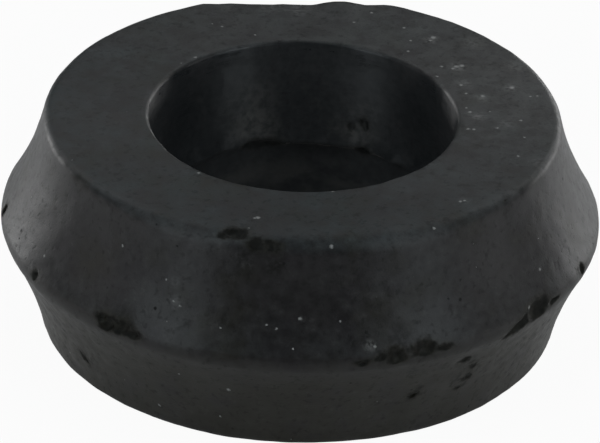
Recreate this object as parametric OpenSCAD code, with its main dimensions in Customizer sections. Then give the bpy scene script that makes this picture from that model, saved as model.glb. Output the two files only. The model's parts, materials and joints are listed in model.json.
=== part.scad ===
// Tapered rubber gasket ring, moulded in one piece: two cones with hollow flanks
// that meet in a ridge at mid-height, with a straight bore through both.
// Torn flash has left scoops along the ridge and nicks in the upper end edge.

/* [Ring] */
// Diameter over the ridge
ridge_d = 42; // [40:0.5:60]
// Diameter of each end face, measured to its corner before rounding
end_d = 36; // [32:0.5:38]
// Height from end face to end face
height = 16; // [12:0.5:24]
// Diameter of the bore
bore_d = 21.5; // [12:0.5:26]

/* [Section] */
// Radius of the hollow in each flank
flank_r = 24; // [18:1:80]
// Rounding of the ridge
ridge_round = 1.2; // [0.5:0.1:1.5]
// Rounding of the outer edge of each end face
end_round = 0.6; // [0.3:0.1:1.2]
// Rounding of both mouths of the bore
mouth_round = 0.3; // [0.2:0.1:1]

/* [Damage] */
// Depth of the tears, from the tip of the ridge
tear_bite = 0.6; // [0.3:0.1:1]
// Depth of the nicks, from the rounded end edge
nick_bite = 0.4; // [0.2:0.1:0.8]
// Depth of the slice that a knife took off the rounded end edge, at the rear
trim_bite = 0.65; // [0.2:0.05:1]

/* [Hidden] */
$fn = 96;
// Number of flats along each arc of the section
arc_steps = 8;

// Tears in the ridge: turn from the front, rise above the ridge line, radius of
// the scoop, and how far its tail runs on in turn and drops in height
ridge_tears = [
    [-60, 0.4, 0.8, 2, 0.6],
    [-37, 0.5, 1.1, 7, 0.4],
    [19, 0.7, 1.2, 3, 0.9],
    [25, 0.8, 0.9, 4, 0.7],
    [53, 0.6, 1.2, -10, 1.1],
    [70, 0.4, 0.8, -3, 0.5]
];
// The tail starts with this share of the tear's depth, and its tip, of this radius, comes out of the ridge
tail_share = 0.75;
tail_tip = 0.05;

// Nicks in the upper end edge: turn from the front, radius of the scoop
end_nicks = [[-16, 1.5], [-11.5, 1.1], [-6.5, 1.4], [51, 1]];
// They are scooped from this far above the level
nick_slope = 45;

// Turn from the front to the middle of the trimmed stretch, and how far above the
// level the cut faces
trim_turn = 180;
trim_slope = 60;

half = height / 2;
bore_r = bore_d / 2;
ridge_r = ridge_d / 2;
end_r = end_d / 2;

// Where two circles meet, on the right-hand side going from a to b
function meet(a, ra, b, rb) =
    let (
        gap = norm(b - a),
        along = (b - a) / gap,
        reach = (gap * gap + ra * ra - rb * rb) / (2 * gap),
        aside = sqrt(ra * ra - reach * reach)
    )
    a + along * reach + [along[1], -along[0]] * aside;

// The angle at which b is seen from a, counted up from 0
function angle_to(a, b) = (atan2(b[1] - a[1], b[0] - a[0]) + 360) % 360;

// Points along an arc round c, from one angle to another
function arc(c, r, from, to) = [
    for (i = [0:arc_steps])
        let (angle = from + (to - from) * i / arc_steps)
        c + r * [cos(angle), sin(angle)]
];

// A row of points without its two ends
function inner(points) = [for (i = [1:len(points) - 2]) points[i]];

// Centres of the arcs in the upper half of the section, with height measured from
// the ridge line: each arc runs smoothly into the next
ridge_c = [ridge_r - ridge_round, 0];
flank_c = meet(ridge_c, flank_r + ridge_round, [end_r, half], flank_r);
end_c = [
    flank_c[0] - sqrt(pow(flank_r + end_round, 2) - pow(half - end_round - flank_c[1], 2)),
    half - end_round
];
mouth_c = [bore_r + mouth_round, half - mouth_round];

// The upper half of the section, from the bore over the end face to the tip of the ridge
upper = concat(
    arc(mouth_c, mouth_round, 180, 90),
    arc(end_c, end_round, 90, angle_to(end_c, flank_c)),
    inner(arc(flank_c, flank_r, angle_to(flank_c, end_c), angle_to(flank_c, ridge_c))),
    arc(ridge_c, ridge_round, angle_to(ridge_c, flank_c), 0)
);
// The lower half mirrors it, without the tip
lower = [for (i = [len(upper) - 2:-1:0]) [upper[i][0], -upper[i][1]]];

// The ring's section, standing on the lower end face
module section() {
    translate([0, half]) polygon(concat(upper, lower));
}

// Turns a shape from the +X axis to its place, counted from the front to the right
module at_turn(turn) {
    rotate([0, 0, turn - 90]) children();
}

// A scoop torn out of the ridge, with a tail that runs out along it
module tear(turn, rise, scoop, tail_turn, tail_drop) {
    tip_r = ridge_r + 2 * tail_tip;
    tail = [tip_r * cos(tail_turn) - ridge_r, tip_r * sin(tail_turn), -tail_drop];
    at_turn(turn) translate([ridge_r, 0, half + rise]) {
        translate([scoop - tear_bite, 0, 0]) sphere(scoop);
        rotate([0, acos(tail[2] / norm(tail)), atan2(tail[1], tail[0])])
            cylinder(h = norm(tail), r1 = tear_bite * tail_share, r2 = tail_tip);
    }
}

// A nick out of the upper end edge
module nick(turn, scoop) {
    at_turn(turn) translate([end_c[0], 0, half + end_c[1]])
        rotate([0, -nick_slope, 0]) translate([end_round - nick_bite + scoop, 0, 0]) sphere(scoop);
}

// What the knife took off the upper end edge
module trimming() {
    at_turn(trim_turn) translate([end_c[0], 0, half + end_c[1]]) rotate([0, -trim_slope, 0])
        translate([end_round - trim_bite, -end_r, -ridge_r]) cube([ridge_d, end_d, ridge_d]);
}

module gasket_ring() {
    color([0.19, 0.2, 0.2]) difference() {
        rotate_extrude() section();
        for (t = ridge_tears) tear(t[0], t[1], t[2], t[3], t[4]);
        for (n = end_nicks) nick(n[0], n[1]);
        trimming();
    }
}

gasket_ring();
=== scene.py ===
import json
import math

import bpy
import numpy as np
from mathutils import Matrix, Vector

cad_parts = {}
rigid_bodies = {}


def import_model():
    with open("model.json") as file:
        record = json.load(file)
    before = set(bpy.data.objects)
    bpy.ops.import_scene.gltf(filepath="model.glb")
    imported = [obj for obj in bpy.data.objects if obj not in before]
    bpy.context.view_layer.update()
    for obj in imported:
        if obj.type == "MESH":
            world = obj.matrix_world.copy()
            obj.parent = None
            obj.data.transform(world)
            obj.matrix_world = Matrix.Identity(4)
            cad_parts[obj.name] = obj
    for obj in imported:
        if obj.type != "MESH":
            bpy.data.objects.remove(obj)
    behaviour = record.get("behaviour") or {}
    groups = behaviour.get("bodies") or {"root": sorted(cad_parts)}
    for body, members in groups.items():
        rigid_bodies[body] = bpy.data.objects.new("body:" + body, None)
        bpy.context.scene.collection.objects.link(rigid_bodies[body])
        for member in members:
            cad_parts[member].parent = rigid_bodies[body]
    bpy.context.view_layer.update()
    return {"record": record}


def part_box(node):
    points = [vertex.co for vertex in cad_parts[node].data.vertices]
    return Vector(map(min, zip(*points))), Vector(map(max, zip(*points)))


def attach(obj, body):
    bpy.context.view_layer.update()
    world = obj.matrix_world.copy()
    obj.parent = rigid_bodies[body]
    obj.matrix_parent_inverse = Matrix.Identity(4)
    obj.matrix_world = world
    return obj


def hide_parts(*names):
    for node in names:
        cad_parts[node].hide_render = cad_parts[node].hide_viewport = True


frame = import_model()

# The ring: black rubber, pressed in a mould that opened along the ridge, with a core pin from each
# side that met half-way down the bore. Its section is drawn as a wire, one half after the other, from
# the bore over an end face to the tip of the ridge, and then spun round the bore's axis.
MM = 0.001
QUARTER = math.pi / 2
ring_low, ring_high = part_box("gasket_ring")
height = ring_high.z - ring_low.z
half = height / 2
ridge_r = round(ring_high.x / MM, 1) * MM
bore_mount = next(mount for mount in frame["record"]["mounts"] if mount["name"] == "bore")
bore_r = bore_mount["dims"]["r_mm"] * MM
end_r = 18 * MM
flank_r = 24 * MM
ridge_round = 1.2 * MM
end_round = 0.6 * MM
mouth_round = 0.3 * MM
lip_reach = 2.6 * MM
merge_gap = 0.005 * MM

# Number of edges along each stretch of the section, and round the ring
LIP_STEPS = 14
WALL_STEPS = 9
MOUTH_STEPS = 6
UPPER_FACE_STEPS = 18
LOWER_FACE_STEPS = 4
EDGE_STEPS = 8
FLANK_STEPS = 32
RIDGE_STEPS = 9
ROUND_STEPS = 400


def meeting_point(a, radius_a, b, radius_b):
    """Where two circles meet, on the right-hand side going from a to b."""
    along = (b - a).normalized()
    gap = (b - a).length
    reach = (gap ** 2 + radius_a ** 2 - radius_b ** 2) / (2 * gap)
    aside = math.sqrt(radius_a ** 2 - reach ** 2)
    return a + along * reach + Vector((along.y, -along.x)) * aside


def direction(a, b):
    """The angle at which b is seen from a, counted up from 0."""
    return math.atan2(b.y - a.y, b.x - a.x) % (2 * math.pi)


def draw_line(across, up, pieces):
    """Draws a straight stretch of the section on from its last point."""
    step = (across / pieces, 0, up / pieces)
    for _ in range(pieces):
        bpy.ops.mesh.extrude_region_move(TRANSFORM_OT_translate={"value": step})


def draw_arc(centre, start, end, side, steps):
    """Draws an arc of the section on from its last point, on the upper (1) or the lower (-1) side."""
    bpy.ops.mesh.spin(
        steps=steps,
        angle=(end - start) * side,
        center=(centre.x, 0, half + centre.y * side),
        axis=(0, 1, 0),
    )


def edge_centre(rounding):
    """The centre of a rounding between the upper end face and the flank."""
    reach = math.sqrt((flank_r + rounding) ** 2 - (half - rounding - flank_centre.y) ** 2)
    return Vector((flank_centre.x - reach, half - rounding))


ridge_centre = Vector((ridge_r - ridge_round, 0))
flank_centre = meeting_point(ridge_centre, flank_r + ridge_round, Vector((end_r, half)), flank_r)
end_centre = edge_centre(end_round)
mouth_centre = Vector((bore_r + mouth_round, half - mouth_round))

bpy.ops.object.select_all(action="DESELECT")
bpy.ops.mesh.primitive_plane_add(size=MM, location=(0, 0, 0))
ring = bpy.context.object
ring.name = "gasket_ring_rubber"
bpy.ops.object.mode_set(mode="EDIT")
bpy.ops.mesh.merge(type="CENTER")
bpy.ops.transform.translate(value=(bore_r, 0, half))
# Each half of the section starts from a copy of the first point
bpy.ops.mesh.duplicate()
for side, face_steps in ((1, UPPER_FACE_STEPS), (-1, LOWER_FACE_STEPS)):
    draw_line(0, lip_reach * side, LIP_STEPS)
    draw_line(0, (mouth_centre.y - lip_reach) * side, WALL_STEPS)
    draw_arc(mouth_centre, 2 * QUARTER, QUARTER, side, MOUTH_STEPS)
    draw_line(end_centre.x - mouth_centre.x, 0, face_steps)
    draw_arc(end_centre, QUARTER, direction(end_centre, flank_centre), side, EDGE_STEPS)
    flank_start = direction(flank_centre, end_centre)
    draw_arc(flank_centre, flank_start, direction(flank_centre, ridge_centre), side, FLANK_STEPS)
    draw_arc(ridge_centre, direction(ridge_centre, flank_centre), 0, side, RIDGE_STEPS)
    bpy.ops.mesh.select_all(action="DESELECT")
    bpy.ops.object.mode_set(mode="OBJECT")
    ring.data.vertices[0].select = True
    bpy.ops.object.mode_set(mode="EDIT")
bpy.ops.mesh.select_all(action="SELECT")
bpy.ops.mesh.remove_doubles(threshold=merge_gap)
bpy.ops.mesh.spin(steps=ROUND_STEPS, angle=2 * math.pi, center=(0, 0, 0), axis=(0, 0, 1))
bpy.ops.mesh.select_all(action="SELECT")
bpy.ops.mesh.remove_doubles(threshold=merge_gap)
bpy.ops.mesh.normals_make_consistent(inside=False)
bpy.ops.object.mode_set(mode="OBJECT")

# Handling has worn the upper edge rounder at the front, fading out towards both sides
edge_wear = 0.9 * MM
wear_full = math.radians(20)
wear_end = math.radians(65)
for vertex in ring.data.vertices:
    turn = abs(math.atan2(vertex.co.x, -vertex.co.y))
    share = min(max((wear_end - turn) / (wear_end - wear_full), 0), 1)
    rounding = end_round + edge_wear * share
    centre = edge_centre(rounding)
    spot = Vector((vertex.co.xy.length, vertex.co.z - half))
    facing = direction(centre, flank_centre) < direction(centre, spot) < QUARTER
    if facing and (spot - centre).length > rounding:
        worn_back = centre + (spot - centre).normalized() * rounding
        vertex.co.xy *= worn_back.x / spot.x
        vertex.co.z = half + worn_back.y


# The flash lip and the skin: where the two core pins met, rubber crept between them and was torn off,
# which left a ragged lip round the bore. Elsewhere the skin is slightly wavy, as moulded rubber is,
# apart from the lower end face, which stands flat on the table.
def roughen(piece, name, grain, depth, middle=0.5, group=""):
    """Presses a cloudy unevenness of a given grain into a piece, along its normals."""
    bpy.context.view_layer.objects.active = piece
    clouds = bpy.data.textures.new(name, "CLOUDS")
    clouds.noise_scale = grain
    clouds.noise_depth = 2
    press = piece.modifiers.new(name, "DISPLACE")
    press.texture = clouds
    press.texture_coords = "LOCAL"
    press.mid_level = middle
    press.strength = depth
    press.vertex_group = group
    bpy.ops.object.modifier_apply(modifier=name)


lip_lean = 0.9 * MM
lip_depth = 0.4 * MM
lip_under = 0.4 * MM
rag_reach = 1.1 * MM
lean_grain = 5 * MM
rag_grain = 1.2 * MM
wave_grain = 4 * MM
wave_depth = 0.1 * MM
ripple_grain = 1 * MM
ripple_depth = 0.03 * MM
calm_share = 0.3
near = 0.01 * MM
leaning = ring.vertex_groups.new(name="leaning_wall")
rag = ring.vertex_groups.new(name="flash_lip")
skin = ring.vertex_groups.new(name="skin")
for vertex in ring.data.vertices:
    rise = vertex.co.z - half
    if vertex.co.xy.length < bore_r + near:
        for group, reach in ((leaning, lip_reach), (rag, rag_reach)):
            fade = 1 - rise / reach if rise > 0 else 1 + rise / lip_under
            group.add([vertex.index], max(fade, 0) ** 2, "REPLACE")
    if vertex.co.z > near:
        on_top = vertex.co.z > height - near
        skin.add([vertex.index], calm_share if on_top else 1, "REPLACE")
roughen(ring, "lean", lean_grain, lip_lean, middle=0, group="leaning_wall")
roughen(ring, "torn_lip", rag_grain, lip_depth, middle=0.4, group="flash_lip")
roughen(ring, "waves", wave_grain, wave_depth, group="skin")
roughen(ring, "ripples", ripple_grain, ripple_depth, group="skin")


# The rubber: satin black with a cool cast, turned marks from the mould, fine grain and small pits
# with painted shade in them, under a thin cool film, partly dust and partly painted sheen, that lies
# thickest on the upper face, with paler specks and smears. The wall of the bore is smoother, polished
# by the core pins, with painted highlights above the lip and paler streaks below it.
def add_node(tree, kind, links=None, **settings):
    """Adds a shader node with its settings, and its sockets' values or what they are linked to."""
    made = tree.nodes.new(kind)
    for name, value in settings.items():
        setattr(made, name, value)
    for socket, value in (links or {}).items():
        if isinstance(value, bpy.types.NodeSocket):
            tree.links.new(value, made.inputs[socket])
        else:
            made.inputs[socket].default_value = value
    return made


def calculate(tree, operation, first, second, third=0.0):
    """A sum, product or other step of arithmetic on one value for each point of the surface."""
    links = {0: first, 1: second, 2: third}
    return add_node(tree, "ShaderNodeMath", links, operation=operation).outputs[0]


def vector(tree, operation, *values):
    """A step of arithmetic on places or directions, or the length of one."""
    made = add_node(tree, "ShaderNodeVectorMath", dict(enumerate(values)), operation=operation)
    return made.outputs["Value" if operation in ("LENGTH", "DISTANCE", "DOT_PRODUCT") else "Vector"]


def spread(tree, value, low, high, new_low=0.0, new_high=1.0):
    """Stretches a range of values over another, without running past its ends."""
    links = {"Value": value, "From Min": low, "From Max": high, "To Min": new_low, "To Max": new_high}
    return add_node(tree, "ShaderNodeMapRange", links).outputs["Result"]


def blend_colours(tree, share, first, second):
    """Goes from the first colour to the second by a share."""
    links = {"Fac": share, "Color1": first, "Color2": second}
    return add_node(tree, "ShaderNodeMixRGB", links).outputs["Color"]


def noise(tree, place, grain, detail, output="Fac", shift=(0, 0, 0)):
    """A noise whose lumps have about the given size in millimetres, shifted to differ from others."""
    links = {"Vector": vector(tree, "ADD", place, shift), "Scale": 1 / grain, "Detail": detail}
    return add_node(tree, "ShaderNodeTexNoise", links).outputs[output]


def measure(tree):
    """A point's place, distance from the axis and height, in millimetres, and how far it faces up."""
    coordinates = add_node(tree, "ShaderNodeTexCoord")
    place = vector(tree, "MULTIPLY", coordinates.outputs["Object"], (1 / MM, 1 / MM, 1 / MM))
    radius = vector(tree, "LENGTH", vector(tree, "MULTIPLY", place, (1, 1, 0)))
    level = add_node(tree, "ShaderNodeSeparateXYZ", {0: place}).outputs["Z"]
    upward = add_node(tree, "ShaderNodeSeparateXYZ", {0: coordinates.outputs["Normal"]}).outputs["Z"]
    return place, radius, level, upward


def turned_noise(tree, place, radius, level, length, width):
    """A noise drawn out round the axis, as a turned mould leaves it, with marks so long and so wide."""
    around = vector(tree, "NORMALIZE", vector(tree, "MULTIPLY", place, (1, 1, 0)))
    share = ridge_r / MM / length
    across = calculate(tree, "MULTIPLY", calculate(tree, "ADD", radius, level), 1 / width)
    across = add_node(tree, "ShaderNodeCombineXYZ", {"Z": across}).outputs[0]
    return noise(tree, vector(tree, "MULTIPLY_ADD", around, (share, share, 0), across), 1, 3)


def spots(tree, place, spacing, rarity, size, channel):
    """Spots of up to a given half width, in some of the cells that lie a spacing apart."""
    cells = add_node(tree, "ShaderNodeTexVoronoi", {"Vector": place, "Scale": 1 / spacing})
    chosen = add_node(tree, "ShaderNodeSeparateColor", {0: cells.outputs["Color"]}).outputs[channel]
    reach = spread(tree, chosen, rarity, 1, 0, size / spacing)
    inside = calculate(tree, "SUBTRACT", reach, cells.outputs["Distance"])
    rim = 0.3 * size / spacing
    return spread(tree, inside, 0, rim)


def at_turn(turn, out, level):
    """A point at a turn from the front to the right, a distance from the axis and a height."""
    angle = math.radians(turn) - QUARTER
    return Vector((math.cos(angle) * out, math.sin(angle) * out, level))


def add_marks(tree, cover, place, marks, heart):
    """Adds marks to a cover, each at its full strength within its heart, a share of its half width."""
    for turn, out, level, half_width, strength in marks:
        distance = vector(tree, "DISTANCE", place, at_turn(turn, out, level))
        mark = spread(tree, distance, half_width, heart * half_width, 0, strength)
        cover = calculate(tree, "MAXIMUM", cover, mark)
    return cover


def tear_open(tree, place, colour, gloss, roughness, relief, strength):
    """Dulls and crumbles the surface where rubber was torn away, with painted shade in the crumbs'
    hollows and an olive fringe round it.
    """
    torn = add_node(tree, "ShaderNodeAttribute", attribute_name="torn").outputs["Fac"]
    crumbs = noise(tree, place, CRUMB_SIZE, 4)
    bare = calculate(tree, "ADD", torn, spread(tree, crumbs, 0.3, 0.7, -0.4, 0.4))
    bare = spread(tree, bare, 0.1, 0.9, 0, strength)
    # Torn rubber is painted darker where the crumbs sink: painted shade in their hollows
    bared_and_shaded = blend_colours(tree, spread(tree, crumbs, 0.4, 0.6), TORN_PALE, TORN_SHADE_DARK)
    fringe = spread(tree, torn, 0, 0.4, 0, 0.6 * strength)
    colour = blend_colours(tree, fringe, colour, RUBBER_OLIVE)
    colour = blend_colours(tree, bare, colour, bared_and_shaded)
    gloss = calculate(tree, "MULTIPLY", gloss, spread(tree, bare, 0, 1, 1, TORN_GLOSS))
    roughness = calculate(tree, "MULTIPLY_ADD", bare, TORN_ROUGHNESS, roughness)
    crumbled = calculate(tree, "MULTIPLY", bare, crumbs)
    relief = calculate(tree, "MULTIPLY_ADD", crumbled, -CRUMB_DEPTH, relief)
    return colour, gloss, roughness, relief


def finish_rubber(tree, colour, gloss, roughness, relief, reflection, drawn_out):
    """Gives a rubber its colour, gloss and relief, with its reflections drawn out by the turned marks."""
    shader = tree.nodes["Principled BSDF"]
    tree.links.new(colour, shader.inputs["Base Color"])
    tree.links.new(roughness, shader.inputs["Roughness"])
    tree.links.new(gloss, shader.inputs["Specular Tint"])
    shader.inputs["Specular IOR Level"].default_value = reflection
    shader.inputs["Anisotropic"].default_value = drawn_out
    shader.inputs["Anisotropic Rotation"].default_value = ACROSS_MARKS
    tangent = add_node(tree, "ShaderNodeTangent", direction_type="RADIAL", axis="Z")
    tree.links.new(tangent.outputs[0], shader.inputs["Tangent"])
    bump = add_node(tree, "ShaderNodeBump", {"Height": relief, "Distance": MM})
    tree.links.new(bump.outputs[0], shader.inputs["Normal"])


# Size and depth of the crumbs in torn rubber, in millimetres, and how dull it is
CRUMB_SIZE = 0.45
CRUMB_DEPTH = 0.025
TORN_GLOSS = 0.5
TORN_ROUGHNESS = 0.35
# A quarter of a turn lays the reflections across the turned marks
ACROSS_MARKS = 0.25
# Colours of the rubber and of what lies on it, and of painted shade, sheen and highlights
RUBBER_BLACK = (0.0094, 0.0086, 0.0090, 1)
RUBBER_WORN = (0.0198, 0.0184, 0.0190, 1)
RUBBER_OLIVE = (0.0150, 0.0134, 0.0066, 1)
STAIN_AND_SHADE_DARK = (0.0050, 0.0054, 0.0036, 1)
TORN_SHADE_DARK = (0.0045, 0.0045, 0.0036, 1)
TORN_PALE = (0.0130, 0.0126, 0.0098, 1)
FILM_AND_SHEEN_COOL = (0.066, 0.118, 0.130, 1)
DUST_AND_EDGE_GREY = (0.105, 0.102, 0.098, 1)
RUBBER_VIOLET = (0.0150, 0.0118, 0.0150, 1)
DUST_PALE = (0.42, 0.42, 0.41, 1)
PIT_SHADE_BLACK = (0.002, 0.002, 0.002, 1)
PIN_BLACK = (0.0200, 0.0225, 0.0240, 1)
PIN_GREY = (0.030, 0.0315, 0.0335, 1)
BORE_PALE_GREY = (0.120, 0.116, 0.108, 1)

# Specks of dust that lie where the photograph shows them: turn, distance from the axis, height and
# half width, the last three in millimetres
DUST_SPECKS = [
    (-11, 15, 16, 0.20), (-11.8, 15.1, 16, 0.14), (-12, 16.5, 16, 0.1), (-39, 11.2, 16, 0.12),
    (11.5, 11, 16, 0.12), (31, 17.7, 15.8, 0.14), (43, 16, 16, 0.16), (44, 16.1, 16, 0.12),
    (71, 15.8, 16, 0.13), (81, 15.6, 16, 0.13), (83, 11.6, 16, 0.16), (83, 12, 16, 0.14),
    (85, 13.6, 16, 0.13), (90, 15.2, 16, 0.14), (95, 11.7, 16, 0.17), (95, 13.1, 16, 0.1),
    (98, 11.5, 16, 0.13), (102.5, 16.3, 16, 0.12), (102.5, 16.8, 16, 0.12), (105, 13, 16, 0.2),
    (108, 12, 16, 0.12), (108, 15.4, 16, 0.22), (114, 12.1, 16, 0.15), (123, 11.2, 16, 0.12),
    (125, 12.8, 16, 0.16), (125.5, 13.2, 16, 0.22), (125, 13.6, 16, 0.22), (128, 12.3, 16, 0.15),
    (142.5, 15, 16, 0.24), (142, 14.5, 16, 0.16), (143, 12.2, 16, 0.15), (146.5, 13.6, 16, 0.14),
    (152, 15, 16, 0.13), (163, 16.1, 16, 0.14), (166, 14.3, 16, 0.13), (-136, 11.1, 16, 0.15),
    (-155, 14, 16, 0.11), (-163, 12.1, 16, 0.13), (7, 17.8, 15.6, 0.18), (50, 20.8, 8.7, 0.2),
    (56.5, 19.9, 10.4, 0.14), (0.5, 19.6, 11, 0.15), (8.5, 19.7, 10.8, 0.11), (15, 20.5, 9.1, 0.15),
    (-4, 19.9, 10.3, 0.11), (-6, 19.8, 10.5, 0.12), (-15, 20.1, 10, 0.1), (-24, 19.7, 10.8, 0.11),
    (-25.5, 19.6, 11, 0.11), (-28, 19.1, 12.2, 0.11), (-40, 18.7, 13.3, 0.13), (-60.5, 20.2, 9.8, 0.13),
    (40, 18.5, 14.1, 0.1), (-13.5, 19.6, 4.9, 0.17), (-30.5, 18.4, 1.6, 0.13), (-16, 18.5, 2, 0.11),
]
# Smears where the dust lies thicker: turn, distance from the axis, height, half width and thickness
DUST_SMEARS = [
    (-178, 15.7, 16, 1.3, 0.2), (-171, 16, 16, 1.1, 0.16), (-160, 16.6, 16, 0.9, 0.12),
    (125, 13.2, 16, 0.9, 0.3), (142, 14.7, 16, 0.8, 0.3), (133, 16.4, 16, 1.2, 0.16),
    (118, 16.8, 16, 1.2, 0.16), (108, 15.3, 16, 0.7, 0.24), (104, 12.9, 16, 0.7, 0.24),
    (92, 12.2, 16, 0.8, 0.24), (88, 14.2, 16, 0.8, 0.16), (115, 12.4, 16, 0.8, 0.2),
    (44, 16.1, 16, 0.6, 0.12), (70, 17.4, 15.8, 1, 0.14), (-25, 19.6, 11, 0.7, 0.12),
    (-26, 19.2, 12.2, 0.5, 0.1), (14, 20.5, 9.2, 0.6, 0.3), (1, 19.6, 11, 0.3, 0.12),
]
# Dark patches on the flanks, partly stains and partly painted shade below the tears and nicks: turn,
# distance from the axis, height, half width and strength
SHADE_AND_STAINS = [
    (36.7, 20, 5.8, 1.1, 0.8), (35.5, 19.3, 4.4, 1, 0.7), (24.5, 19, 3.7, 0.6, 0.7),
    (23.1, 20.4, 6.6, 0.6, 0.7), (-48.5, 18.8, 2.9, 0.7, 0.5), (-12, 18.4, 14.6, 1.4, 0.5),
    (-5, 18.5, 14.4, 1.2, 0.5), (20, 20.4, 9.3, 1.6, 0.4), (-36, 20.4, 9.2, 1.4, 0.4),
    (51, 18.2, 15.2, 0.8, 0.5), (25.6, 19.3, 4.4, 0.6, 0.7), (30, 20.2, 6.2, 0.7, 0.6),
    (-50, 19.1, 3.6, 0.6, 0.5), (-47, 18.5, 2.2, 0.6, 0.5), (-58, 19.4, 4.4, 0.9, 0.4),
    (58, 19.6, 5, 0.8, 0.4),
]
# Sizes of the patterns on the outside, in millimetres
FINE_GRAIN = 0.12
PITTED_GRAIN = 0.32
MOTTLE_GRAIN = 0.7
PATCH_GRAIN = 1.5
CLUSTER_GRAIN = 2.2
VIOLET_GRAIN = 2.5
STAIN_GRAIN = 3.5
CLOUD_GRAIN = 5
MARK_LENGTH = 4
MARK_WIDTH = 0.11
PIT_SPACING = 0.8
PIT_SIZE = 0.17
SPECK_SPACING = 1.2
SPECK_SIZE = 0.07
# How far the outline of a pit or a speck strays, in millimetres
STRAY = 0.2
# Depths of the relief, in millimetres
FINE_DEPTH = 0.006
MARK_DEPTH = 0.004
MOTTLE_DEPTH = 0.009
PIT_DEPTH = 0.02
# How much of the rubber each cover hides where it is thickest
SPECK_COVER = 0.7
FILM_AND_SHEEN_COVER = 0.13
DUST_COVER = 0.26
PALE_EDGE_COVER = 0.07
LOW_OLIVE = 0.75
CLOUDY_OLIVE = 0.5
CLOUDY_VIOLET = 0.4
# The side of the upper face where the dust lies thickest
DUSTY_SIDE = (0.6, 0.8, 0)

rubber = bpy.data.materials.new("moulded_rubber")
rubber.use_nodes = True
tree = rubber.node_tree
place, radius, level, upward = measure(tree)
grain = noise(tree, place, FINE_GRAIN, 2)
mottle = noise(tree, place, MOTTLE_GRAIN, 5)
clouds = noise(tree, place, CLOUD_GRAIN, 3)
pitting = noise(tree, place, PITTED_GRAIN, 3)
stains = noise(tree, place, STAIN_GRAIN, 3, shift=(40, 0, 0))
clusters = noise(tree, place, CLUSTER_GRAIN, 2, shift=(0, 30, 0))
violet = noise(tree, place, VIOLET_GRAIN, 3, shift=(0, 0, 50))
turned_marks = turned_noise(tree, place, radius, level, MARK_LENGTH, MARK_WIDTH)
facing_up = spread(tree, upward, 0.4, 0.9)

# Pits, which lie in clusters and not on the upper face, and specks of dust, all with ragged outlines
wander = noise(tree, place, FINE_GRAIN, 2, "Color")
ragged_place = vector(tree, "MULTIPLY_ADD", wander, (STRAY, STRAY, STRAY), place)
pitted = spread(tree, upward, 0.9, 0.6, 0, 0.65)
pitted = calculate(tree, "MULTIPLY", spread(tree, clusters, 0.46, 0.62), pitted)
pits = spots(tree, ragged_place, PIT_SPACING, rarity=0.45, size=PIT_SIZE, channel=0)
pits = calculate(tree, "MULTIPLY", pits, pitted)
specks = spots(tree, ragged_place, SPECK_SPACING, rarity=0.65, size=SPECK_SIZE, channel=1)
centred_place = vector(tree, "SUBTRACT", ragged_place, (STRAY / 2, STRAY / 2, STRAY / 2))
placed_specks = [(*speck, SPECK_COVER) for speck in DUST_SPECKS]
specks = add_marks(tree, specks, centred_place, placed_specks, heart=0.3)

# Smears of dust, and dark scuffs with painted shade below the tears and nicks, both broken up by the
# pitting
smears = spread(tree, mottle, 0.62, 0.72, 0, 0.025)
smears = add_marks(tree, smears, place, DUST_SMEARS, heart=0)
smears = calculate(tree, "MULTIPLY", smears, spread(tree, pitting, 0.62, 0.42))
scuffs_and_shade = spread(tree, violet, 0.6, 0.75, 0, 0.15)
scuffs_and_shade = add_marks(tree, scuffs_and_shade, place, SHADE_AND_STAINS, heart=0.2)
scuffs_and_shade = calculate(tree, "MULTIPLY", scuffs_and_shade, spread(tree, pitting, 0.35, 0.55))

# The colour: black rubber, worn, olive or violet in places, under the film, partly painted sheen, and the
# dust, with a paler upper edge and painted shade in the pits and below the tears and nicks
worn = calculate(tree, "MULTIPLY_ADD", grain, 0.5, calculate(tree, "MULTIPLY", mottle, 0.5))
colour = blend_colours(tree, spread(tree, worn, 0.25, 0.75), RUBBER_BLACK, RUBBER_WORN)
low_down = spread(tree, level, 9, 6, 0, LOW_OLIVE)
olive = calculate(tree, "MAXIMUM", low_down, spread(tree, stains, 0.52, 0.7, 0, CLOUDY_OLIVE))
colour = blend_colours(tree, olive, colour, RUBBER_OLIVE)
violet_share = spread(tree, violet, 0.52, 0.68, 0, CLOUDY_VIOLET)
colour = blend_colours(tree, violet_share, colour, RUBBER_VIOLET)
patches = calculate(tree, "ADD", worn, noise(tree, place, PATCH_GRAIN, 3))
patches = spread(tree, patches, 0.8, 1.2, 0.4, 1.6)
# The film is partly dust and partly a painted cool sheen, laid only on faces that look up
film_and_sheen = spread(tree, clouds, 0.3, 0.7, 0.06, FILM_AND_SHEEN_COVER)
film_and_sheen = calculate(tree, "MULTIPLY", film_and_sheen, facing_up)
film_and_sheen = calculate(tree, "MULTIPLY", film_and_sheen, patches)
colour = blend_colours(tree, film_and_sheen, colour, FILM_AND_SHEEN_COOL)
dust_and_pale_edge = spread(tree, vector(tree, "DOT_PRODUCT", place, DUSTY_SIDE), -6, 15, 0, DUST_COVER)
dust_and_pale_edge = calculate(tree, "MULTIPLY", dust_and_pale_edge, facing_up)
# The rounded upper edge is painted paler all round, together with the dust
on_edge = spread(tree, upward, 0.98, 0.85)
on_edge = calculate(tree, "MULTIPLY", spread(tree, upward, 0.35, 0.6), on_edge)
pale_edge = calculate(tree, "MULTIPLY", on_edge, spread(tree, radius, 14, 15, 0, PALE_EDGE_COVER))
dust_and_pale_edge = calculate(tree, "ADD", dust_and_pale_edge, pale_edge)
dust_and_pale_edge = calculate(tree, "MULTIPLY", dust_and_pale_edge, patches)
colour = blend_colours(tree, dust_and_pale_edge, colour, DUST_AND_EDGE_GREY)
# Dark scuffs and stains, with painted shade below the tears and nicks
colour = blend_colours(tree, scuffs_and_shade, colour, STAIN_AND_SHADE_DARK)
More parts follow.
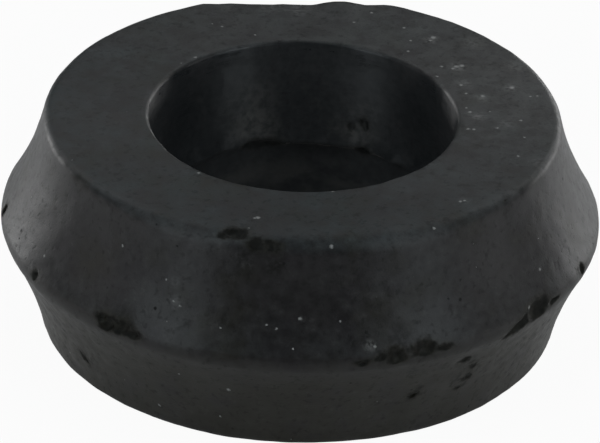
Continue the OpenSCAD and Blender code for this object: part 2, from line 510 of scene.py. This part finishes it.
# Pits are painted near-black: painted shade in the small hollows
colour = blend_colours(tree, pits, colour, PIT_SHADE_BLACK)
colour = blend_colours(tree, smears, colour, DUST_PALE)

# The gloss and the relief, with the torn places, and the specks on top of it all
gloss = spread(tree, mottle, 0.33, 0.67, 0.72, 1)
gloss = calculate(tree, "MULTIPLY", gloss, spread(tree, stains, 0.4, 0.65, 1, 0.8))
dulled = calculate(tree, "MAXIMUM", scuffs_and_shade, pits)
gloss = calculate(tree, "MULTIPLY", gloss, spread(tree, dulled, 0, 1, 1, 0.2))
roughness = spread(tree, mottle, 0.3, 0.7, 0.35, 0.5)
roughness = calculate(tree, "MULTIPLY_ADD", pits, 0.3, roughness)
relief = calculate(tree, "MULTIPLY", grain, FINE_DEPTH)
relief = calculate(tree, "MULTIPLY_ADD", turned_marks, MARK_DEPTH, relief)
relief = calculate(tree, "MULTIPLY_ADD", mottle, MOTTLE_DEPTH, relief)
relief = calculate(tree, "MULTIPLY_ADD", pits, -PIT_DEPTH, relief)
torn_finish = tear_open(tree, place, colour, gloss, roughness, relief, strength=0.8)
colour, gloss, roughness, relief = torn_finish
colour = blend_colours(tree, specks, colour, DUST_PALE)
roughness = calculate(tree, "MULTIPLY_ADD", specks, 0.4, roughness)
finish_rubber(tree, colour, gloss, roughness, relief, reflection=0.5, drawn_out=0.7)

# Painted highlights on the bore's pale bands just above the lip: turn, height, half width and strength
BORE_LIP_HIGHLIGHTS = [
    (-165, 9, 1.5, 1), (-161, 9.8, 2.2, 0.9), (-157, 9, 1.6, 0.7), (-161, 11.2, 2.4, 0.5),
    (161, 9, 1.3, 0.9), (156, 9.2, 1.6, 0.6), (165, 9.4, 1.2, 0.4), (158, 10.8, 1.8, 0.3),
]

# Sizes of the patterns in the bore and depths of its relief, in millimetres
SCRATCH_LENGTH = 5
SCRATCH_WIDTH = 0.2
SCRATCH_DEPTH = 0.016
STREAK_LENGTH = 6
STREAK_WIDTH = 2
WALL_MOTTLE_GRAIN = 0.5
WALL_MOTTLE_DEPTH = 0.008
WALL_SMEAR_GRAIN = 1.6
WALL_SMEAR_DEPTH = 0.03

bore_rubber = bpy.data.materials.new("bore_rubber")
bore_rubber.use_nodes = True
tree = bore_rubber.node_tree
place, radius, level, _ = measure(tree)
scratches = turned_noise(tree, place, radius, level, SCRATCH_LENGTH, SCRATCH_WIDTH)
wall_streaks = turned_noise(tree, place, radius, level, STREAK_LENGTH, STREAK_WIDTH)
mottle = noise(tree, place, WALL_MOTTLE_GRAIN, 4)
smears = noise(tree, place, WALL_SMEAR_GRAIN, 4)
over_lip = spread(tree, level, 7.8, 8.6)
under_lip = spread(tree, level, 8.3, 7.7)
deep_down = spread(tree, level, 7, 5.5)

# The colour: smoother black rubber, with paler streaks deep down and painted highlights over the lip
colour = blend_colours(tree, spread(tree, mottle, 0.3, 0.7), PIN_BLACK, PIN_GREY)
# Deep down the wall is streaked paler
pale_streaks = calculate(tree, "MULTIPLY", spread(tree, wall_streaks, 0.45, 0.65, 0, 0.45), deep_down)
colour = blend_colours(tree, pale_streaks, colour, BORE_PALE_GREY)
lip_highlight_marks = [(turn, bore_r / MM, rise, width, share) for turn, rise, width, share in BORE_LIP_HIGHLIGHTS]
# Pale patches over the lip are painted highlights
lip_highlights = spread(tree, smears, 0.6, 0.8, 0, 0.3)
lip_highlights = add_marks(tree, lip_highlights, place, lip_highlight_marks, heart=0)
lip_highlights = calculate(tree, "MULTIPLY", lip_highlights, spread(tree, mottle, 0.36, 0.62, 0.25, 1))
lip_highlights = calculate(tree, "MULTIPLY", lip_highlights, over_lip)
colour = blend_colours(tree, lip_highlights, colour, BORE_PALE_GREY)

# The gloss and the relief: most polished near the mouth, dull under the lip
gloss = spread(tree, mottle, 0.3, 0.7, 0.85, 1)
roughness = spread(tree, level, 15, 10, 0.36, 0.65)
roughness = calculate(tree, "ADD", roughness, spread(tree, scratches, 0.3, 0.7, -0.07, 0.07))
roughness = calculate(tree, "ADD", roughness, spread(tree, smears, 0.35, 0.65, -0.08, 0.08))
roughness = calculate(tree, "MULTIPLY_ADD", under_lip, 0.6, roughness)
relief = calculate(tree, "MULTIPLY", scratches, SCRATCH_DEPTH)
relief = calculate(tree, "MULTIPLY_ADD", mottle, WALL_MOTTLE_DEPTH, relief)
relief = calculate(tree, "MULTIPLY_ADD", smears, WALL_SMEAR_DEPTH, relief)
torn_finish = tear_open(tree, place, colour, gloss, roughness, relief, strength=0.4)
colour, gloss, roughness, relief = torn_finish
finish_rubber(tree, colour, gloss, roughness, relief, reflection=0.52, drawn_out=0.95)

# The bore's finish runs on a little way round its mouths
mouth_reach = bore_r + 0.6 * mouth_round
mouth_slope = 0.6
ring.data.materials.append(rubber)
ring.data.materials.append(bore_rubber)
bore_slot = ring.data.materials.find("bore_rubber")
for face in ring.data.polygons:
    if face.center.xy.length < mouth_reach and abs(face.normal.z) < mouth_slope:
        face.material_index = bore_slot
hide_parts("gasket_ring")
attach(ring, "root")

# The tears and nicks: flash was pulled off the ridge and took lumps of rubber with it, the upper edge
# was knocked, and the lower flank and the bore were scraped. Each place is a rough lump cut out of
# the ring, which bares dull torn rubber.
tear_half = 1.2 * MM
nick_half = 1 * MM
torn_grain = 0.8 * MM
torn_depth = 0.45 * MM
crumbled_grain = 0.25 * MM
crumbled_depth = 0.08 * MM

# Tears in the ridge, then shallow scuffs on the lower flank: turn from the front, height above the
# table, depth, width, size upwards and lean, in degrees and millimetres
TEARS = [
    (-85, 8.8, 0.3, 1, 1.4, 0), (-60.5, 8.5, 0.3, 1, 1.3, 0), (-39.8, 8.6, 0.3, 1.3, 1.2, 20),
    (-38.2, 8.3, 0.4, 1.7, 1.4, 0), (-35, 8.5, 0.4, 2.8, 1.4, 6), (-32.6, 8.3, 0.3, 2, 1, 0),
    (12.4, 8.1, 0.2, 1.2, 0.8, 0), (16, 8.4, 0.15, 1.6, 1.4, -20), (18.7, 8.6, 0.22, 2, 2.4, 10),
    (24.6, 8.8, 0.2, 2.6, 1.8, 0), (28, 8.4, 0.2, 2.2, 0.8, -10), (46.5, 7.8, 0.4, 6.4, 1.1, 26),
    (52.2, 8.5, 0.45, 3, 2, 24), (57.5, 8.2, 0.25, 2.4, 0.5, 0), (70, 8.5, 0.3, 1.1, 1.6, 0),
    (34.3, 6.3, 0.08, 1.6, 1.1, 0), (37.9, 5.2, 0.08, 1.7, 1.2, -30), (37.7, 4, 0.08, 1.2, 1.5, 20),
    (36, 3.3, 0.07, 1.4, 0.8, 0), (24.6, 3.7, 0.07, 1.9, 0.8, 40), (-50.4, 2.6, 0.07, 3, 0.8, -30),
]
# Nicks in the upper edge: turn, width, depth, size inwards over the edge, and how many degrees above
# the level each faces
NICKS = [
    (-17, 1.5, 0.28, 1, 62), (-14.2, 2, 0.46, 1.2, 100), (-10, 2.3, 0.33, 1.6, 48),
    (-5.8, 2, 0.32, 1.1, 43), (51.5, 1, 0.2, 0.9, 50),
]
# Tears in the wall of the bore, given as those in the ridge are
BORE_TEARS = [
    (160.5, 9.6, 0.08, 1, 2, 20), (156.2, 10, 0.08, 1, 1.8, -15), (155.5, 7.8, 0.12, 2, 0.8, -10),
    (-163.8, 7.8, 0.15, 3.4, 1.2, 0),
]

torn_mark = bpy.data.materials.new("torn_mark")
cutters = bpy.data.collections.new("cutters")
bpy.context.scene.collection.children.link(cutters)


def skin_radius(level):
    """The radius of the ridge or a flank at a height above the table."""
    rise = abs(level - half)
    if rise < (flank_centre.y - ridge_centre.y) * ridge_round / (flank_r + ridge_round):
        return ridge_centre.x + math.sqrt(ridge_round ** 2 - rise ** 2)
    return flank_centre.x - math.sqrt(flank_r ** 2 - (rise - flank_centre.y) ** 2)


def add_lump(turn, out, level, sizes, lean=0.0, tip=0.0):
    """A lump, with its half sizes outwards, along the ring and up, leaning along and outwards."""
    bpy.ops.object.select_all(action="DESELECT")
    bpy.ops.mesh.primitive_ico_sphere_add(
        subdivisions=5,
        radius=1,
        location=at_turn(turn, out, level),
        rotation=(math.radians(lean), math.radians(tip), math.radians(turn) - QUARTER),
        scale=sizes,
    )
    lump = bpy.context.object
    bpy.ops.object.transform_apply(location=True, rotation=True, scale=True)
    return lump


def cut_with(lump):
    """Makes a lump ragged, and keeps it to be cut out of the ring."""
    roughen(lump, "ragged", torn_grain, torn_depth)
    roughen(lump, "crumbled", crumbled_grain, crumbled_depth)
    lump.data.materials.append(torn_mark)
    cutters.objects.link(lump)


for turn, level, bite, along, up, lean in TEARS:
    out = skin_radius(level * MM) + tear_half - bite * MM
    sizes = (tear_half, along * MM / 2, up * MM / 2)
    cut_with(add_lump(turn, out, level * MM, sizes, lean))
for turn, along, bite, inwards, facing in NICKS:
    slope = math.radians(facing)
    outwards = Vector((math.cos(slope), math.sin(slope)))
    centre = end_centre + outwards * (end_round + nick_half - bite * MM)
    sizes = (nick_half, along * MM / 2, inwards * MM / 2)
    cut_with(add_lump(turn, centre.x, half + centre.y, sizes, tip=-facing))
for turn, level, bite, along, up, lean in BORE_TEARS:
    out = bore_r - nick_half + bite * MM
    sizes = (nick_half, along * MM / 2, up * MM / 2)
    cut_with(add_lump(turn, out, level * MM, sizes, lean))

# The trimming: at the rear a knife took the sprue off, with a slice of the upper edge and a shallow
# scoop of the end face, and beside the cut a small nib of flash still stands up.
trim_turn = -178
trim_bite = 0.65 * MM
trim_slope = math.radians(60)
trim_size = 30 * MM
drag_grain = 2 * MM
drag_depth = 0.2 * MM
scoop_turn = -178.5
scoop_out = 16.3 * MM
scoop_rise = 0.8 * MM
scoop_sizes = (1.6 * MM, 2.6 * MM, 1 * MM)
nib_turn = 171.5
nib_out = 16.4 * MM
nib_half = 0.4 * MM
nib_rise = 0.3 * MM
nib_reach = 1.9 * MM
KNIFE_STEPS = 40
SMOOTH_STEPS = 8

trim_normal = Vector((math.cos(trim_slope), math.sin(trim_slope)))
trim_centre = end_centre + trim_normal * (end_round - trim_bite + trim_size / 2)
bpy.ops.object.select_all(action="DESELECT")
bpy.ops.mesh.primitive_cube_add(
    size=trim_size,
    location=at_turn(trim_turn, trim_centre.x, half + trim_centre.y),
    rotation=(0, -trim_slope, math.radians(trim_turn) - QUARTER),
)
knife = bpy.context.object
bpy.ops.object.transform_apply(location=True, rotation=True, scale=True)
bpy.ops.object.mode_set(mode="EDIT")
bpy.ops.mesh.subdivide(number_cuts=KNIFE_STEPS)
bpy.ops.object.mode_set(mode="OBJECT")
roughen(knife, "knife_drag", drag_grain, drag_depth)
knife.data.materials.append(rubber)
cutters.objects.link(knife)

scoop = add_lump(scoop_turn, scoop_out, height + scoop_rise, scoop_sizes)
scoop.data.materials.append(rubber)
cutters.objects.link(scoop)

bpy.context.view_layer.objects.active = ring
cut = ring.modifiers.new("cuts", "BOOLEAN")
cut.operation = "DIFFERENCE"
cut.operand_type = "COLLECTION"
cut.collection = cutters
cut.solver = "MANIFOLD"
cut.material_mode = "TRANSFER"
bpy.ops.object.modifier_apply(modifier="cuts")

bpy.ops.object.select_all(action="DESELECT")
for spent in cutters.objects:
    spent.select_set(True)
bpy.ops.object.delete()
bpy.data.collections.remove(cutters)

# The torn faces and those next to them are smoothed a little, and then the nib is drawn up
bpy.ops.object.select_all(action="DESELECT")
ring.select_set(True)
bpy.context.view_layer.objects.active = ring
torn_slot = ring.data.materials.find("torn_mark")
bpy.ops.object.mode_set(mode="EDIT")
bpy.ops.mesh.select_all(action="DESELECT")
ring.active_material_index = torn_slot
bpy.ops.object.material_slot_select()
bpy.ops.mesh.select_more()
bpy.ops.mesh.select_more()
bpy.ops.mesh.vertices_smooth(factor=0.5, repeat=SMOOTH_STEPS)
bpy.ops.mesh.select_all(action="DESELECT")
bpy.ops.object.mode_set(mode="OBJECT")
nib_foot = at_turn(nib_turn, nib_out, height)
for vertex in ring.data.vertices:
    vertex.select = (vertex.co - nib_foot).length < nib_half
bpy.ops.object.mode_set(mode="EDIT")
bpy.ops.transform.translate(
    value=(0, 0, nib_rise),
    use_proportional_edit=True,
    proportional_edit_falloff="SMOOTH",
    proportional_size=nib_reach,
)
bpy.ops.object.mode_set(mode="OBJECT")
bpy.ops.object.shade_smooth()

# Torn faces go back to the rubber that they were cut in, and an attribute remembers them, feathered
# over a few vertices
FEATHER_STEPS = 6
bore_skin_r = bore_r + 1 * MM
torn = np.zeros(len(ring.data.vertices))
for face in ring.data.polygons:
    if face.material_index == torn_slot:
        torn[list(face.vertices)] = 1
        face.material_index = bore_slot if face.center.xy.length < bore_skin_r else 0
ring.data.materials.pop(index=torn_slot)
ends = np.zeros(2 * len(ring.data.edges), dtype=int)
ring.data.edges.foreach_get("vertices", ends)
ends = ends.reshape(-1, 2)
neighbours = np.bincount(ends.ravel(), minlength=len(torn))
for _ in range(FEATHER_STEPS):
    around = np.bincount(ends[:, 0], torn[ends[:, 1]], len(torn))
    around += np.bincount(ends[:, 1], torn[ends[:, 0]], len(torn))
    torn = (torn + around / neighbours) / 2
ring.data.attributes.new("torn", "FLOAT", "POINT").data.foreach_set("value", torn)

# The camera: a long lens half a metre away, a little under thirty degrees above the table and turned
# by a degree or so, as the outline of the ring in the photograph shows.
PHOTO_WIDTH = 600
FOCAL_PIXELS = 7169
camera_rise = math.radians(29.63)
camera_turn = math.radians(1.54)
camera_distance = 24 * ridge_r
camera_aim = Vector((0, 0, 0.3532 * ridge_r))
camera_data = bpy.data.cameras.new("camera")
camera_data.sensor_width = 36
camera_data.lens = FOCAL_PIXELS * camera_data.sensor_width / PHOTO_WIDTH
camera = bpy.data.objects.new("camera", camera_data)
bpy.context.scene.collection.objects.link(camera)
camera_back = Vector((0, -math.cos(camera_rise), math.sin(camera_rise)))
camera.matrix_world = (
    Matrix.Translation(camera_aim + camera_back * camera_distance)
    @ Matrix.Rotation(QUARTER - camera_rise, 4, "X")
    @ Matrix.Rotation(camera_turn, 4, "Z")
)
bpy.context.scene.camera = camera

# The table: a white sheet that runs on well past the picture. To the eye it is mostly a plain white
# ground, which leaves a soft share of the ring's shadow, and the ring mirrors a little of that white.
TABLE_SIZE = 3
SHEET_WHITE = (0.92, 0.92, 0.92, 1)
SHEET_ROUGHNESS = 0.9
SHEET_REFLECTION = 0.1
GROUND_WHITE = (1, 1, 1, 1)
GROUND_SHARE = 0.95
MIRRORED_SHARE = 0.2
bpy.ops.object.select_all(action="DESELECT")
bpy.ops.mesh.primitive_plane_add(size=TABLE_SIZE, location=(0, 0, 0))
table = bpy.context.object
table.name = "table"
sheet = bpy.data.materials.new("white_sheet")
sheet.use_nodes = True
tree = sheet.node_tree
shader = tree.nodes["Principled BSDF"]
shader.inputs["Base Color"].default_value = SHEET_WHITE
shader.inputs["Roughness"].default_value = SHEET_ROUGHNESS
shader.inputs["Specular IOR Level"].default_value = SHEET_REFLECTION
ray = add_node(tree, "ShaderNodeLightPath")
seen = calculate(tree, "MAXIMUM", ray.outputs["Is Camera Ray"], ray.outputs["Is Transmission Ray"])
share = calculate(tree, "MULTIPLY", seen, GROUND_SHARE)
share = calculate(tree, "MULTIPLY_ADD", ray.outputs["Is Glossy Ray"], MIRRORED_SHARE, share)
ground = add_node(tree, "ShaderNodeEmission", {"Color": GROUND_WHITE, "Strength": 1})
mixed = add_node(tree, "ShaderNodeMixShader", {0: share, 1: shader.outputs[0], 2: ground.outputs[0]})
tree.links.new(mixed.outputs[0], tree.nodes["Material Output"].inputs["Surface"])
table.data.materials.append(sheet)

# The studio: a tent of soft lamps. Two at the front draw pale bands down the flank and the bore, flat
# strips low at the sides and behind catch the edges, and higher ones light the upper face.
LAMP_DISTANCE = 0.8
SOFTBOX = (0.35, 0.5)
HIGH_SOFTBOX = (0.4, 0.4)
STRIP = (0.35, 0.14)
FRONT_RISE = 24
HIGH_RISE = 62
STRIP_RISE = 6
REAR_RISE = 46
DAYLIGHT = (0.91, 1, 1.04)
LAMP_WHITE = (1, 1, 1)
WORLD_GREY = (0.02, 0.02, 0.02, 1)


def add_lamp(name, azimuth, elevation, size, watts, tint=LAMP_WHITE):
    """A soft lamp aimed at the ring, with its azimuth counted from the front to the right."""
    lamp = bpy.data.lights.new(name, "AREA")
    lamp.shape = "RECTANGLE"
    lamp.size, lamp.size_y = size
    lamp.energy = watts
    lamp.color = tint
    holder = bpy.data.objects.new(name, lamp)
    bpy.context.scene.collection.objects.link(holder)
    away = at_turn(azimuth, math.cos(math.radians(elevation)), math.sin(math.radians(elevation)))
    holder.location = away * LAMP_DISTANCE
    holder.rotation_euler = away.to_track_quat("Z", "Y").to_euler()


add_lamp("front_left_softbox", -50, FRONT_RISE, SOFTBOX, 1, DAYLIGHT)
add_lamp("front_right_softbox", 50, FRONT_RISE, SOFTBOX, 0.97, DAYLIGHT)
add_lamp("high_left_softbox", -60, HIGH_RISE, HIGH_SOFTBOX, 0.55, DAYLIGHT)
add_lamp("high_right_softbox", 60, HIGH_RISE, HIGH_SOFTBOX, 0.55, DAYLIGHT)
add_lamp("left_strip", -80, STRIP_RISE, STRIP, 0.3)
add_lamp("right_strip", 80, STRIP_RISE, STRIP, 0.36)
add_lamp("rear_left_strip", -130, STRIP_RISE, STRIP, 1.25)
add_lamp("rear_right_strip", 130, STRIP_RISE, STRIP, 1)
add_lamp("rear_strip", 155, STRIP_RISE, STRIP, 0.55)
add_lamp("rear_left_softbox", -145, REAR_RISE, SOFTBOX, 0.5)
add_lamp("rear_right_softbox", 145, REAR_RISE, SOFTBOX, 0.55)
add_lamp("rear_top_softbox", 180, REAR_RISE, SOFTBOX, 0.35)

world = bpy.context.scene.world or bpy.data.worlds.new("studio")
bpy.context.scene.world = world
world.use_nodes = True
world.node_tree.nodes["Background"].inputs["Color"].default_value = WORLD_GREY
bpy.context.scene.view_settings.view_transform = "Standard"
